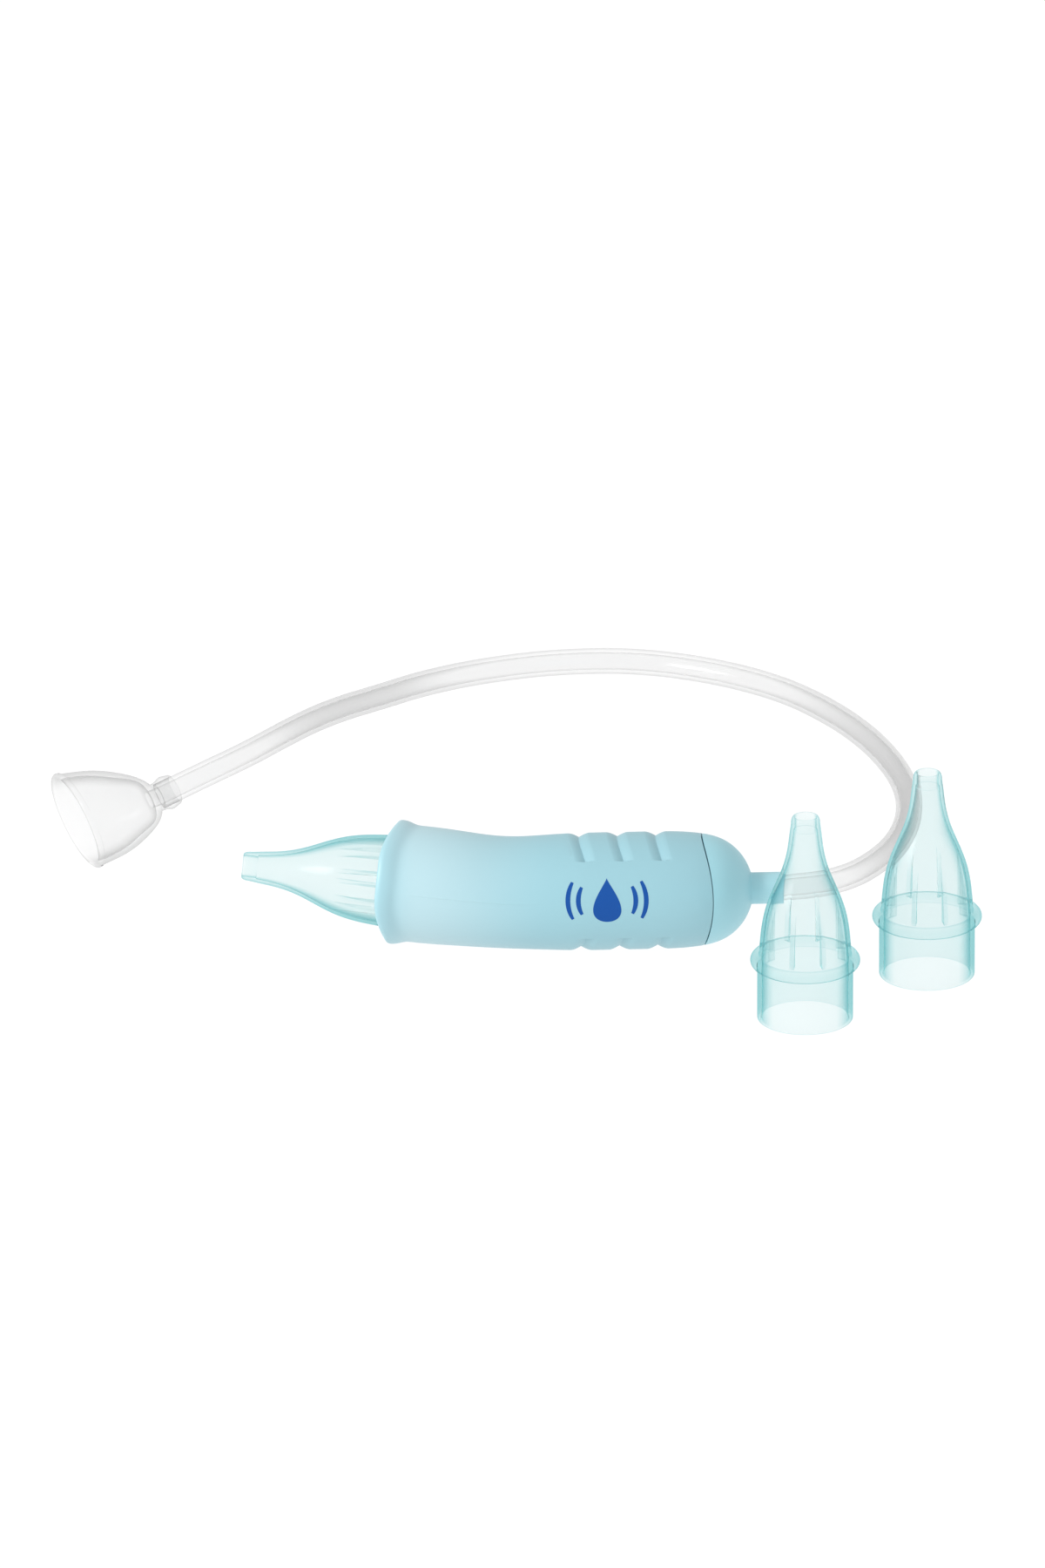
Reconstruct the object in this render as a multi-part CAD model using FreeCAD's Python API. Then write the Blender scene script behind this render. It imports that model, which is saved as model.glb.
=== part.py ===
# Nasal aspirator for a baby: the sucker, its hose and mouthpiece, and two spare tips, on a table.
# Millimetres, +Z up, the table at Z = 0. The handle lies along X with its tip towards -X, and the
# origin is under the middle of the handle and the spare tips, leaving out the hose.

import FreeCAD, Part
import math
import os

Vector, Rotation, Placement = FreeCAD.Vector, FreeCAD.Rotation, FreeCAD.Placement
X_AXIS, Y_AXIS, Z_AXIS = Vector(1, 0, 0), Vector(0, 1, 0), Vector(0, 0, 1)

# --- where things lie -------------------------------------------------------------------------
# The handle has its own frame: its origin is where its two axes cross, +x is the rear axis, +z is
# its top. It lies on its belly with its rear end a little raised, rolled a little towards the front.
bend_x, bend_y = -25.0, 20.6
bend_z = 13.1
rear_rise = 1.2
handle_roll = 10.0
spare_front_at = (44.2, -22.75)
spare_rear_at = (72.3, 3.95)
cup_at = (-123.7, 69.0)
cup_azimuth, cup_rise, cup_spin = 24.1, 17.3, 150.8

# --- handle: grip and rear cap ----------------------------------------------------------------
front_rise = 7.3
waist_r, throat_r, belly_r = 12.88, 13.43, 13.5
bend_half = 7.0
front_barrel = 19.0
rear_barrel = 20.0
lip_r, lip_peak, lip_edge = 14.3, 24.9, 0.9
lip_front, lip_sag, lip_flat = 29.4, 3.3, 4.0
flare_low, flare_high, flare_ease = 21.6, 23.3, 0.15
# The dome is dome_length long, and dome_line gives points on it as shares of its radius and length.
handle_end, dome_length, dome_r = 57.6, 13.0, 13.05
dome_start = handle_end - dome_length
dome_line = [(0.881, 0.4615), (0.621, 0.785)]
belly_end = 33.0
seam_side, seam_radius, seam_gap = dome_start + 3.7, 32.0, 0.3
bore_r = 10.0
mouth_straight = 3.0
groove_first, groove_pitch, groove_count = 17.6, 8.8, 3
groove_depth, groove_half, groove_reach = 0.9, 1.9, 9.9

# --- tip: the mounted one and the two spare ones ----------------------------------------------
tip_height, tip_end_r, tip_bore_r = 49.7, 3.3, 2.5
skirt_r, skirt_inner_r, skirt_round = 11.0, 9.9, 0.5
flange_r, flange_z, flange_bead = 12.6, 14.3, 1.35
shoulder_r = 10.6
cone_line = [(17.5, 10.5), (22.1, 10.05), (27.5, 8.9), (31.8, 7.3), (36.4, 5.45), (41.8, 4.1)]
cone_end, cone_end_r = 46.3, 3.55
cone_wall = 0.8
ledge_z = 15.5
rib_count, rib_width, rib_inner_r, rib_top = 8, 0.9, 7.9, 30.0
mounted_rib_turn, spare_rib_turn = 20.0, 26.0
seated_base = 10.4

# --- fits -------------------------------------------------------------------------------------
slide_gap = 0.05
seat_gap = 0.05
mouth_gap = 0.15
seal_gap = 0.03

# --- filter -----------------------------------------------------------------------------------
foam_length = 10.0
foam_gap = 0.1
grid_thick, grid_lift, grid_hole_r = 1.5, 0.5, 1.2
grid_rings = [(0.0, 1), (3.6, 6), (7.2, 12)]

# --- rear cap plug, seal and spigot -----------------------------------------------------------
plug_r, plug_wall, plug_length = 10.85, 2.45, 10.8
plug_start = seam_side - plug_length
socket_start = plug_start - 1.0
dome_wall = 2.0
seal_r, seal_at, seal_groove = 0.75, seam_side - 6.8, 0.85
spigot_r, spigot_end = 3.65, handle_end + 6.8
boss_r, boss_start, boss_end = 4.65, handle_end - 6.1, handle_end - 0.95
hose_stop = spigot_end - 6.0

# --- hose -------------------------------------------------------------------------------------
hose_r, hose_bore_r = 3.0, 2.0
hose_lead = 11.3
hose_tail = 12.0
arc_share = 0.45
hose_path = [
    (54.4, 26.5, 14.5), (60.8, 36.9, 14.0), (65.5, 49.9, 13.1), (68.1, 65.2, 11.8),
    (69.0, 81.5, 10.2), (68.0, 98.5, 8.7), (64.8, 116.0, 7.3), (59.6, 134.2, 5.9),
    (51.5, 153.5, 4.3), (40.0, 171.3, 3.2), (24.0, 183.0, 3.05), (5.5, 189.4, 3.05),
    (-13.5, 188.3, 3.05), (-30.6, 180.6, 3.8), (-43.9, 165.9, 6.6), (-53.7, 147.0, 10.8),
    (-61.9, 129.3, 15.3), (-69.1, 113.2, 18.7), (-75.9, 99.9, 20.3), (-83.5, 89.4, 20.0),
]

# --- mouthpiece -------------------------------------------------------------------------------
cup_r, cup_depth, cup_offset, cup_wall = 12.0, 19.5, -3.26, 1.2
cup_line = [(8.4, 10.4), (14.5, 7.85), (18.1, 5.4)]
rim_bead = 0.8
rim_straight, rim_draft = 2.5, 0.1
cup_floor, cup_floor_shift = 1.44, 0.4
neck_r = 3.4
collar_r, collar_at, collar_end, collar_edge = 4.0, 22.4, 24.8, 0.3
collar_shoulder = (3.7, 23.8)
hose_in_collar = 20.7

# --- working lengths --------------------------------------------------------------------------
# far reaches through the whole handle, and past is how far a cut starts outside what it cuts. An
# arc has its middle at quarter_round of its radius from the corner that it rounds.
far, past = 200.0, 1.0
quarter_round = 1 - math.sqrt(0.5)


def outlined(edges):
    """A flat face inside a closed outline of edges in any order."""
    return Part.Face(Part.Wire(Part.sortEdges(edges)[0]))


def turned(edges):
    """A solid of revolution about Z from a closed outline of edges in the XZ plane."""
    return outlined(edges).revolve(Vector(), Z_AXIS, 360)


def rz(r, z):
    """A point r from the axis and z along it."""
    return Vector(r, 0, z)


def line(*points):
    """Straight edges through points of the XZ plane given as (r, z)."""
    spots = [rz(*p) for p in points]
    return [Part.LineSegment(a, b).toShape() for a, b in zip(spots, spots[1:])]


def arc(start, through, end):
    """An arc through three points of the XZ plane given as (r, z)."""
    return [Part.Arc(rz(*start), rz(*through), rz(*end)).toShape()]


def curve(points, start=None, end=None):
    """A smooth edge through (r, z) points, with a direction at each end if one is given."""
    spline = Part.BSplineCurve()
    tangents = {}
    if start:
        tangents = {"InitialTangent": rz(*start), "FinalTangent": rz(*end)}
    spline.interpolate([rz(*p) for p in points], **tangents)
    return [spline.toShape()]


def cylinder(r, low, high):
    """A round bar about Z from low to high."""
    return Part.makeCylinder(r, high - low, rz(0, low), Z_AXIS)


# ---------------------------------------------------------------------------------- placements
handle_place = Placement(
    Vector(bend_x, bend_y, bend_z), Rotation(Y_AXIS, -rear_rise) * Rotation(X_AXIS, -handle_roll)
)
# A solid turned about Z points its Z along the rear axis with one, and along the front axis,
# towards the tip, with the other.
along_rear = Placement(Vector(), Rotation(Y_AXIS, 90))
along_front = Placement(Vector(), Rotation(Y_AXIS, front_rise - 90))
# The mouthpiece rests on the lowest point of its rim's bead.
cup_height = (cup_r - rim_bead) * math.cos(math.radians(cup_rise))
cup_height += rim_bead * (1 - math.sin(math.radians(cup_rise)))
cup_place = Placement(
    Vector(*cup_at, cup_height),
    Rotation(Z_AXIS, cup_azimuth) * Rotation(Y_AXIS, 90 - cup_rise) * Rotation(Z_AXIS, cup_spin),
)


def placed(shape, *placements):
    """A copy of shape moved by each placement in turn."""
    moved = shape.copy()
    for p in placements:
        moved.Placement = p.multiply(moved.Placement)
    return moved


# -------------------------------------------------------------------------------------- handle
def handle_station(d):
    """Point and direction of the handle's centreline d mm behind the bend, d < 0 in front."""
    rise = math.radians(front_rise)
    front = Vector(math.cos(rise), 0, -math.sin(rise))
    if d <= -bend_half:
        return front * d, front
    if d >= bend_half:
        return X_AXIS * d, X_AXIS
    share = (d + bend_half) / (2 * bend_half)
    a, b = front * -bend_half, X_AXIS * bend_half
    point = a * (1 - share) ** 2 + b * share**2
    return point, (front * (1 - share) + X_AXIS * share).normalize()


def barrel_radius(d):
    """Half thickness of the barrel d mm behind the bend: a gentle waist."""
    end_r, reach = (throat_r, front_barrel) if d < 0 else (belly_r, rear_barrel)
    share = min(abs(d) / reach, 1.0)
    return waist_r + (end_r - waist_r) * math.sin(share * math.pi / 2) ** 2


def bent_barrel():
    steps = [-front_barrel, -13.0, -bend_half, 0.0, bend_half, 13.5, rear_barrel]
    rings = []
    for d in steps:
        point, way = handle_station(d)
        rings.append(Part.Wire(Part.Circle(point, way, barrel_radius(d)).toShape()))
    return Part.makeLoft(rings, True, False)


def lip_blank():
    """The flared front of the handle, longer than the finished lip, about Z."""
    tall = lip_front + past
    flare = curve(
        [
            (throat_r, front_barrel),
            (throat_r + flare_ease, flare_low),
            (lip_r - flare_ease, flare_high),
            (lip_r, lip_peak),
        ],
        (0, 1),
        (0, 1),
    )
    return turned(
        flare + line((lip_r, lip_peak), (lip_r, tall), (0, tall), (0, front_barrel), (throat_r, front_barrel))
    )


def dome_blank():
    """Belly, taper and dome of the handle, about Z."""
    side = curve(
        [
            (belly_r, rear_barrel),
            (belly_r, belly_end),
            (dome_r, dome_start),
            *((r * dome_r, dome_start + z * dome_length) for r, z in dome_line),
            (0, handle_end),
        ],
        (0, 1),
        (-1, 0),
    )
    return turned(side + line((0, handle_end), (0, rear_barrel), (belly_r, rear_barrel)))


def handle_form():
    """The outside of grip and rear cap together, in the handle's frame."""
    form = bent_barrel().fuse(placed(lip_blank(), along_front))
    return form.fuse(placed(dome_blank(), along_rear)).removeSplitter()


def lip_cutter():
    """All that lies in front of the lip's rim: flat in the middle, curving back above and below."""
    reach = lip_r + past
    rise = reach - lip_flat
    radius = ((lip_r - lip_flat) ** 2 + lip_sag**2) / (2 * lip_sag)
    middle = rise / 2

    def back(offset):
        return lip_front - (radius - math.sqrt(radius**2 - offset**2))

    upper = arc((lip_flat, lip_front), (lip_flat + middle, back(middle)), (reach, back(rise)))
    lower = arc((-lip_flat, lip_front), (-lip_flat - middle, back(middle)), (-reach, back(rise)))
    flat = line((-lip_flat, lip_front), (lip_flat, lip_front))
    rest = line((reach, back(rise)), (reach, far), (-reach, far), (-reach, back(rise)))
    face = outlined(upper + lower + flat + rest)
    return face.extrude(Vector(0, far, 0)).translated(Vector(0, -far / 2, 0))


def behind_seam(shift):
    """All that lies behind the seam of grip and cap, which bulges back at the sides."""
    block = Part.makeBox(far, far, far, Vector(seam_side - seam_radius, -far / 2, -far / 2))
    roll = Part.makeCylinder(seam_radius, far, Vector(seam_side - seam_radius, -far / 2, 0), Y_AXIS)
    return block.cut(roll).translated(Vector(shift, 0, 0))


def groove(at):
    """A V-shaped ring cut over the top and under the belly, stopping short of the sides."""
    apex, mouth = belly_r - groove_depth, belly_r + past
    half = groove_half * (mouth - apex) / groove_depth
    ring = turned(line((apex, at), (mouth, at + half), (mouth, at - half), (apex, at)))
    keep = Part.makeBox(far, 2 * groove_reach, far, Vector(-far / 2, -groove_reach, -far / 2))
    return placed(ring, along_rear).common(keep)


def grip():
    """Hollow handle: mouth and socket for the tip, bent bore, socket for the rear cap's plug."""
    shoulder = seated_base + flange_z - flange_bead - seat_gap
    socket_floor = seated_base - grid_lift - grid_thick
    mouth_r = flange_r + mouth_gap
    deep, open_end = shoulder + mouth_straight, lip_front + past
    # The mouth widens evenly from its straight part to lip_edge less than the lip at the rim.
    mouth = turned(
        line(
            (0, shoulder), (mouth_r, shoulder), (mouth_r, deep),
            (lip_r - lip_edge, open_end), (0, open_end), (0, shoulder),
        )
    )
    front_bore = cylinder(skirt_r + slide_gap, socket_floor, shoulder + past).fuse(mouth)
    front_bore = front_bore.fuse(cylinder(bore_r, 0, socket_floor + past))
    rear_bore = cylinder(bore_r, 0, socket_start + past)
    rear_bore = rear_bore.fuse(cylinder(plug_r + slide_gap, socket_start, far))
    elbow = Part.makeSphere(bore_r)
    body = handle_form().cut(behind_seam(0))
    body = body.cut(placed(front_bore, along_front)).cut(elbow).cut(placed(rear_bore, along_rear))
    # The lip's cutter is drawn about the handle's front axis with its X up.
    body = body.cut(placed(lip_cutter(), along_front))
    for i in range(groove_count):
        body = body.cut(groove(groove_first + i * groove_pitch))
    return placed(body, handle_place)


def rear_cap():
    """Domed cap with its plug, the seal's groove and the spigot that holds the hose."""
    hollow = Part.makeSphere(dome_r - dome_wall, rz(0, dome_start))
    dome = handle_form().common(behind_seam(seam_gap)).cut(placed(hollow, along_rear))
    plug = cylinder(plug_r, plug_start, seam_side).cut(cylinder(plug_r - plug_wall, plug_start - past, far))
    groove_r = plug_r + slide_gap - seal_gap - 2 * seal_r
    ring = cylinder(far, seal_at - seal_groove, seal_at + seal_groove)
    plug = plug.cut(ring.cut(cylinder(groove_r, 0, far)))
    spigot = cylinder(boss_r, boss_start, boss_end).fuse(cylinder(spigot_r, boss_start, spigot_end))
    body = dome.fuse(placed(plug.fuse(spigot), along_rear))
    holes = cylinder(hose_r, hose_stop, far).fuse(cylinder(hose_bore_r, boss_start - past, hose_stop + past))
    return placed(body.cut(placed(holes, along_rear)), handle_place)


def cap_seal():
    """O-ring in the plug's groove, almost touching the grip's bore."""
    ring_r = plug_r + slide_gap - seal_gap - seal_r
    return placed(Part.makeTorus(ring_r, seal_r, rz(0, seal_at), Z_AXIS), along_rear, handle_place)


# ----------------------------------------------------------------------------------------- tip
def tip_outside():
    """The tip's outer form, filled, standing on its skirt at Z = 0."""
    low, top = flange_z - flange_bead, flange_z + flange_bead
    nose = (tip_end_r - tip_bore_r) / 2
    points = [(shoulder_r, top)] + [(r, z) for z, r in cone_line]
    points += [(cone_end_r, cone_end), (tip_end_r, tip_height - nose)]
    edges = line((0, 0), (skirt_r - skirt_round, 0))
    edges += arc(
        (skirt_r - skirt_round, 0),
        (skirt_r - skirt_round * quarter_round, skirt_round * quarter_round),
        (skirt_r, skirt_round),
    )
    edges += line((skirt_r, skirt_round), (skirt_r, low), (flange_r - flange_bead, low))
    edges += arc((flange_r - flange_bead, low), (flange_r, flange_z), (flange_r - flange_bead, top))
    edges += line((flange_r - flange_bead, top), (shoulder_r, top))
    edges += curve(points)
    edges += arc(
        (tip_end_r, tip_height - nose),
        (tip_end_r - nose * quarter_round, tip_height - nose * quarter_round),
        (tip_end_r - nose, tip_height),
    )
    edges += line((tip_end_r - nose, tip_height), (0, tip_height), (0, 0))
    return turned(edges)


def tip_cavity():
    """The hollow of the tip: skirt, cone and the narrow bore at its end."""
    points = [(r - cone_wall, z) for z, r in cone_line] + [(cone_end_r - cone_wall, cone_end)]
    points = [(shoulder_r - cone_wall, ledge_z)] + points
    over = tip_height + past
    edges = line((0, -past), (skirt_inner_r, -past), (skirt_inner_r, ledge_z), points[0])
    edges += curve(points)
    edges += line(points[-1], (tip_bore_r, cone_end), (tip_bore_r, over), (0, over), (0, -past))
    return turned(edges)


def tip(turn):
    """Soft tip with ribs inside its cone; turn sets where the ribs stand."""
    outside = tip_outside()
    body = outside.cut(tip_cavity())
    for i in range(rib_count):
        rib = Part.makeBox(
            skirt_r - rib_inner_r, rib_width, rib_top - ledge_z, Vector(rib_inner_r, -rib_width / 2, ledge_z)
        )
        rib.rotate(Vector(), Z_AXIS, turn + i * 360 / rib_count)
        body = body.fuse(rib.common(outside))
    return body.removeSplitter()


seat = Placement(rz(0, seated_base), Rotation())


def filter_foam():
    """Plug of foam in the skirt of the mounted tip."""
    top = ledge_z - foam_gap
    return placed(cylinder(skirt_inner_r, top - foam_length, top), seat, along_front, handle_place)


def filter_grid():
    """Perforated disc on the floor of the tip's socket."""
    top = seated_base - grid_lift
    disc = cylinder(skirt_r + slide_gap, top - grid_thick, top)
    for ring_r, count in grid_rings:
        for i in range(count):
            hole = cylinder(grid_hole_r, top - grid_thick - past, top + past)
            hole.translate(Vector(ring_r, 0, 0))
            hole.rotate(Vector(), Z_AXIS, i * 360 / count)
            disc = disc.cut(hole)
    return placed(disc, along_front, handle_place)


# ---------------------------------------------------------------------------------- mouthpiece
def cup_form(outline):
    """A filled bowl through circles given as (z, r), whose centres drift sideways to the neck."""
    rings = []
    for z, r in outline:
        centre = Vector(cup_offset * z / cup_depth, 0, z)
        rings.append(Part.Wire(Part.Circle(centre, Z_AXIS, r).toShape()))
    return Part.makeLoft(rings, True, False)


def mouthpiece():
    """Off-centre cup on a straight neck; in its own frame the rim is at Z = 0, the neck above."""
    wall_r = cup_r - 2 * rim_bead + cup_wall
    outer = [(rim_bead, wall_r), (rim_straight, wall_r - rim_draft)] + cup_line + [(cup_depth, neck_r)]
    inner = [(-past, wall_r - cup_wall), (rim_straight, wall_r - rim_draft - cup_wall)]
    inner += [(z - cup_floor_shift, r - cup_wall) for z, r in cup_line]
    inner += [(cup_depth - cup_floor, hose_bore_r)]
    bead = Part.makeTorus(cup_r - rim_bead, rim_bead, rz(0, rim_bead), Z_AXIS)
    cup = cup_form(outer).cut(cup_form(inner)).fuse(bead)
    low = cup_depth - cup_wall
    edge_r = hose_r + collar_edge
    side = curve(
        [(neck_r, cup_depth), (collar_r, collar_at), collar_shoulder, (edge_r, collar_end)],
        (0, 1),
        (-1, 0.1),
    )
    side += line((edge_r, collar_end), (0, collar_end), (0, low), (neck_r, low), (neck_r, cup_depth))
    holes = cylinder(hose_r + slide_gap, hose_in_collar - seat_gap, far)
    holes = holes.fuse(cylinder(hose_bore_r, low - past, far))
    beside = Vector(cup_offset, 0, 0)
    body = cup.fuse(turned(side).translated(beside)).cut(holes.translated(beside))
    return placed(body.removeSplitter(), cup_place)


# ---------------------------------------------------------------------------------------- hose
def hose_points():
    """The hose's route from the spigot to the mouthpiece: its ends lie on the axes they fit."""
    start = [handle_place.multVec(Vector(u, 0, 0)) for u in (hose_stop, hose_stop + hose_lead)]
    tail = [Vector(cup_offset, 0, hose_in_collar + hose_tail), Vector(cup_offset, 0, hose_in_collar)]
    end = [cup_place.multVec(p) for p in tail]
    return start + [Vector(*p) for p in hose_path] + end


def rounded_path(points):
    """Straight runs joined by tangent arcs, each as large as its two runs allow."""
    edges, at, radii = [], points[0], []
    for before, corner, after in zip(points, points[1:], points[2:]):
        a, b = before - corner, after - corner
        half = (math.pi - a.getAngle(b)) / 2
        cut = arc_share * min(a.Length, b.Length)
        radii.append(cut / math.tan(half))
        a, b = a.normalize(), b.normalize()
        middle = corner + (a + b).normalize() * (radii[-1] / math.cos(half) - radii[-1])
        start, stop = corner + a * cut, corner + b * cut
        edges.append(Part.LineSegment(at, start).toShape())
        edges.append(Part.Arc(start, middle, stop).toShape())
        at = stop
    edges.append(Part.LineSegment(at, points[-1]).toShape())
    return Part.Wire(edges), radii


def tube(path, r):
    """A solid bar of radius r along the path."""
    edge = path.Edges[0]
    start = edge.valueAt(edge.FirstParameter)
    section = Part.Wire(Part.Circle(start, edge.tangentAt(edge.FirstParameter), r).toShape())
    return path.makePipeShell([section], True, False)


def hose(points):
    """The hose's wall along its route; prints its length and its bends' radii."""
    path, radii = rounded_path(points)
    body = tube(path, hose_r).cut(tube(path, hose_bore_r))
    wanted = math.pi * (hose_r**2 - hose_bore_r**2) * path.Length
    print("hose length %.1f, volume %.1f of %.1f" % (path.Length, body.Volume, wanted))
    print("hose radii", " ".join("%.0f" % r for r in radii))
    return body


def main():
    nodes = {
        "grip": grip(),
        "rear_cap": rear_cap(),
        "cap_seal": cap_seal(),
        "nozzle": placed(tip(mounted_rib_turn), seat, along_front, handle_place),
        "filter_foam": filter_foam(),
        "filter_grid": filter_grid(),
        "spare_nozzle_front": placed(tip(spare_rib_turn), Placement(Vector(*spare_front_at, 0), Rotation())),
        "spare_nozzle_rear": placed(tip(spare_rib_turn), Placement(Vector(*spare_rear_at, 0), Rotation())),
        "mouthpiece": mouthpiece(),
        "hose": hose(hose_points()),
    }
    os.makedirs("parts", exist_ok=True)
    for name, shape in nodes.items():
        print("%-20s solids %d, valid %s, %.0f mm3" % (name, len(shape.Solids), shape.isValid(), shape.Volume))
        shape.exportStep("parts/%s.step" % name)


main()
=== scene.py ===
# %% [markdown]
# # A baby's nasal aspirator
# A parent sucks on the mouthpiece, the hose carries the draught through the blue handle, and the
# soft tip clears a small nose. Two spare tips stand in front. Nearly every piece is a thin wall
# turned about an axis, so nearly every piece here is one idea: a closed outline of a wall, carried
# round a circle, with small departures from it worked out with numpy. The solid model is loaded
# first. It gives the places and sizes, and it stays what moves and collides.

# %% Load the solid model
import math

import bmesh
import bpy
import numpy as np
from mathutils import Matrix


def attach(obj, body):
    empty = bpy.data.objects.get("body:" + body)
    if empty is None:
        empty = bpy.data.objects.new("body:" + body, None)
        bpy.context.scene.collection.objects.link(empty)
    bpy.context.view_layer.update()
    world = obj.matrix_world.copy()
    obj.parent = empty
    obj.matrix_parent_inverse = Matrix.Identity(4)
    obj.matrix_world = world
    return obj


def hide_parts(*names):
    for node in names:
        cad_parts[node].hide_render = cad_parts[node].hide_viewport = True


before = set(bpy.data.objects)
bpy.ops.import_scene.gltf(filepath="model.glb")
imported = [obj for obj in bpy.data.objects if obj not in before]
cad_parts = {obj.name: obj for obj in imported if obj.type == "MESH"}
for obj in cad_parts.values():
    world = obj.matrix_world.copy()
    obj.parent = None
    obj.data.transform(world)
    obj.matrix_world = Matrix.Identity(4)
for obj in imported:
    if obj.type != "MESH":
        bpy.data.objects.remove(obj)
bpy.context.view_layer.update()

MM = 0.001

# %% [markdown]
# ## Frames
# The handle lies on its belly, a little rolled and with its rear end a little raised, and its
# front bends up slightly, so the tip has an axis of its own. It is easiest to work out each piece
# upright and turn it into place at the end, with one matrix for each frame.

# %% Turn and place points


def turn(axis, degrees):
    """The matrix that turns a point about a main axis: cosines on two diagonals, sines beside them."""
    c, s = math.cos(math.radians(degrees)), math.sin(math.radians(degrees))
    i, j = {"x": (1, 2), "y": (2, 0), "z": (0, 1)}[axis]
    m = np.eye(3)
    m[i, i] = m[j, j] = c
    m[i, j], m[j, i] = -s, s
    return m


bend = np.array([-25.0, 20.6, 13.1])
rear_rise, handle_roll, front_rise = 1.2, 10.0, 7.3
handle_turn = turn("y", -rear_rise) @ turn("x", -handle_roll)
tip_turn = handle_turn @ turn("y", front_rise - 90)
cup_r, cup_depth, cup_offset, cup_wall, rim_bead = 12.0, 19.5, -3.26, 1.2, 0.8
cup_azimuth, cup_rise, cup_spin = 24.1, 17.3, 150.8
cup_turn = turn("z", cup_azimuth) @ turn("y", 90 - cup_rise) @ turn("z", cup_spin)
tilt = math.radians(cup_rise)
cup_at = np.array([-123.7, 69.0, (cup_r - rim_bead) * math.cos(tilt) + rim_bead * (1 - math.sin(tilt))])


def placed(points, matrix, shift):
    """Points turned by a matrix, then shifted: matrix times point plus shift, for the whole array."""
    return points @ np.asarray(matrix).T + np.asarray(shift, float)


# %% [markdown]
# ## Camera
# A long lens from far away keeps the outlines nearly parallel, as in a catalogue picture. The
# camera looks straight at the long side of the handle, 22 degrees down.

# %% Aim the camera
looking_down = math.radians(22)
camera_away, frame_height = 10.0, 0.36
aim_middle, aim_up, aim_back = (-20.46, 21.05, 0), 0.037, 0.0053
into = np.array([0, math.cos(looking_down), -math.sin(looking_down)])
upward = np.array([0, math.sin(looking_down), math.cos(looking_down)])
aim = np.array(aim_middle) * MM + upward * aim_up - into * aim_back
camera_data = bpy.data.cameras.new("camera")
camera_data.lens = camera_data.sensor_width * camera_away / frame_height
camera = bpy.data.objects.new("camera", camera_data)
camera.location = aim - into * camera_away
camera.rotation_euler = (math.pi / 2 - looking_down, 0, 0)
bpy.context.scene.collection.objects.link(camera)
bpy.context.scene.camera = camera
print("lens %.0f mm" % camera_data.lens)

# %% [markdown]
# ## Smooth outlines
# A moulded outline runs smoothly through a few sizes that can be measured with a caliper. A cubic
# spline does this: it passes through each size and bends evenly in between. A bought profile could
# be drawn as a Bezier curve instead, but then its sizes are hidden in the handles.

# %% A spline through measured sizes


def smooth_line(knots, ends, steps):
    """Points on a smooth line through the knots, evenly spaced along their chords.

    A slope is found at each knot so that neighbouring cubics bend alike there, which is one linear
    system, with the slopes at both ends given. Between two knots the point is Hermite's blend of
    the two knots and their slopes."""
    knots = np.asarray(knots, float)
    gap = np.linalg.norm(np.diff(knots, axis=0), axis=1)
    inner = np.arange(1, len(knots) - 1)
    system, target = np.eye(len(knots)), np.zeros_like(knots)
    target[0], target[-1] = ends
    before, after = gap[inner - 1], gap[inner]
    system[inner, inner - 1] = 1 / before
    system[inner, inner] = 2 / before + 2 / after
    system[inner, inner + 1] = 1 / after
    rise = np.diff(knots, axis=0) / gap[:, None] ** 2
    target[inner] = 3 * (rise[inner - 1] + rise[inner])
    slope = np.linalg.solve(system, target)
    at = np.concatenate([[0], np.cumsum(gap)])
    t = np.linspace(0, at[-1], steps)
    i = np.clip(np.searchsorted(at, t, side="right") - 1, 0, len(gap) - 1)
    h, x = gap[i][:, None], ((t - at[i]) / gap[i])[:, None]
    stay, leave = (1 + 2 * x) * (1 - x) ** 2, x**2 * (3 - 2 * x)
    return stay * knots[i] + leave * knots[i + 1] + h * x * (1 - x) * ((1 - x) * slope[i] - x * slope[i + 1])


def corner(centre, radius, start, stop, steps=6):
    """Points on an arc: centre plus radius times (sine, cosine) of angles from start to stop."""
    a = np.radians(np.linspace(start, stop, steps))
    return np.stack([centre[0] + radius * np.sin(a), centre[1] + radius * np.cos(a)], axis=1)


def ease(x):
    """0 below 0, 1 above 1, and a smooth S between: 3x² - 2x³."""
    x = np.clip(x, 0, 1)
    return x * x * (3 - 2 * x)


# %% [markdown]
# ## From a grid of points to a mesh
# Each piece is a grid: one direction runs along the outline of its wall, out one side and back on
# the other, and the other direction runs round the axis. Both close on themselves, so the skin has
# no edge and no hole. The order of the corners decides which way faces look, and the signed volume
# of the closed skin tells whether that came out right.

# %% Skin a grid


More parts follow.
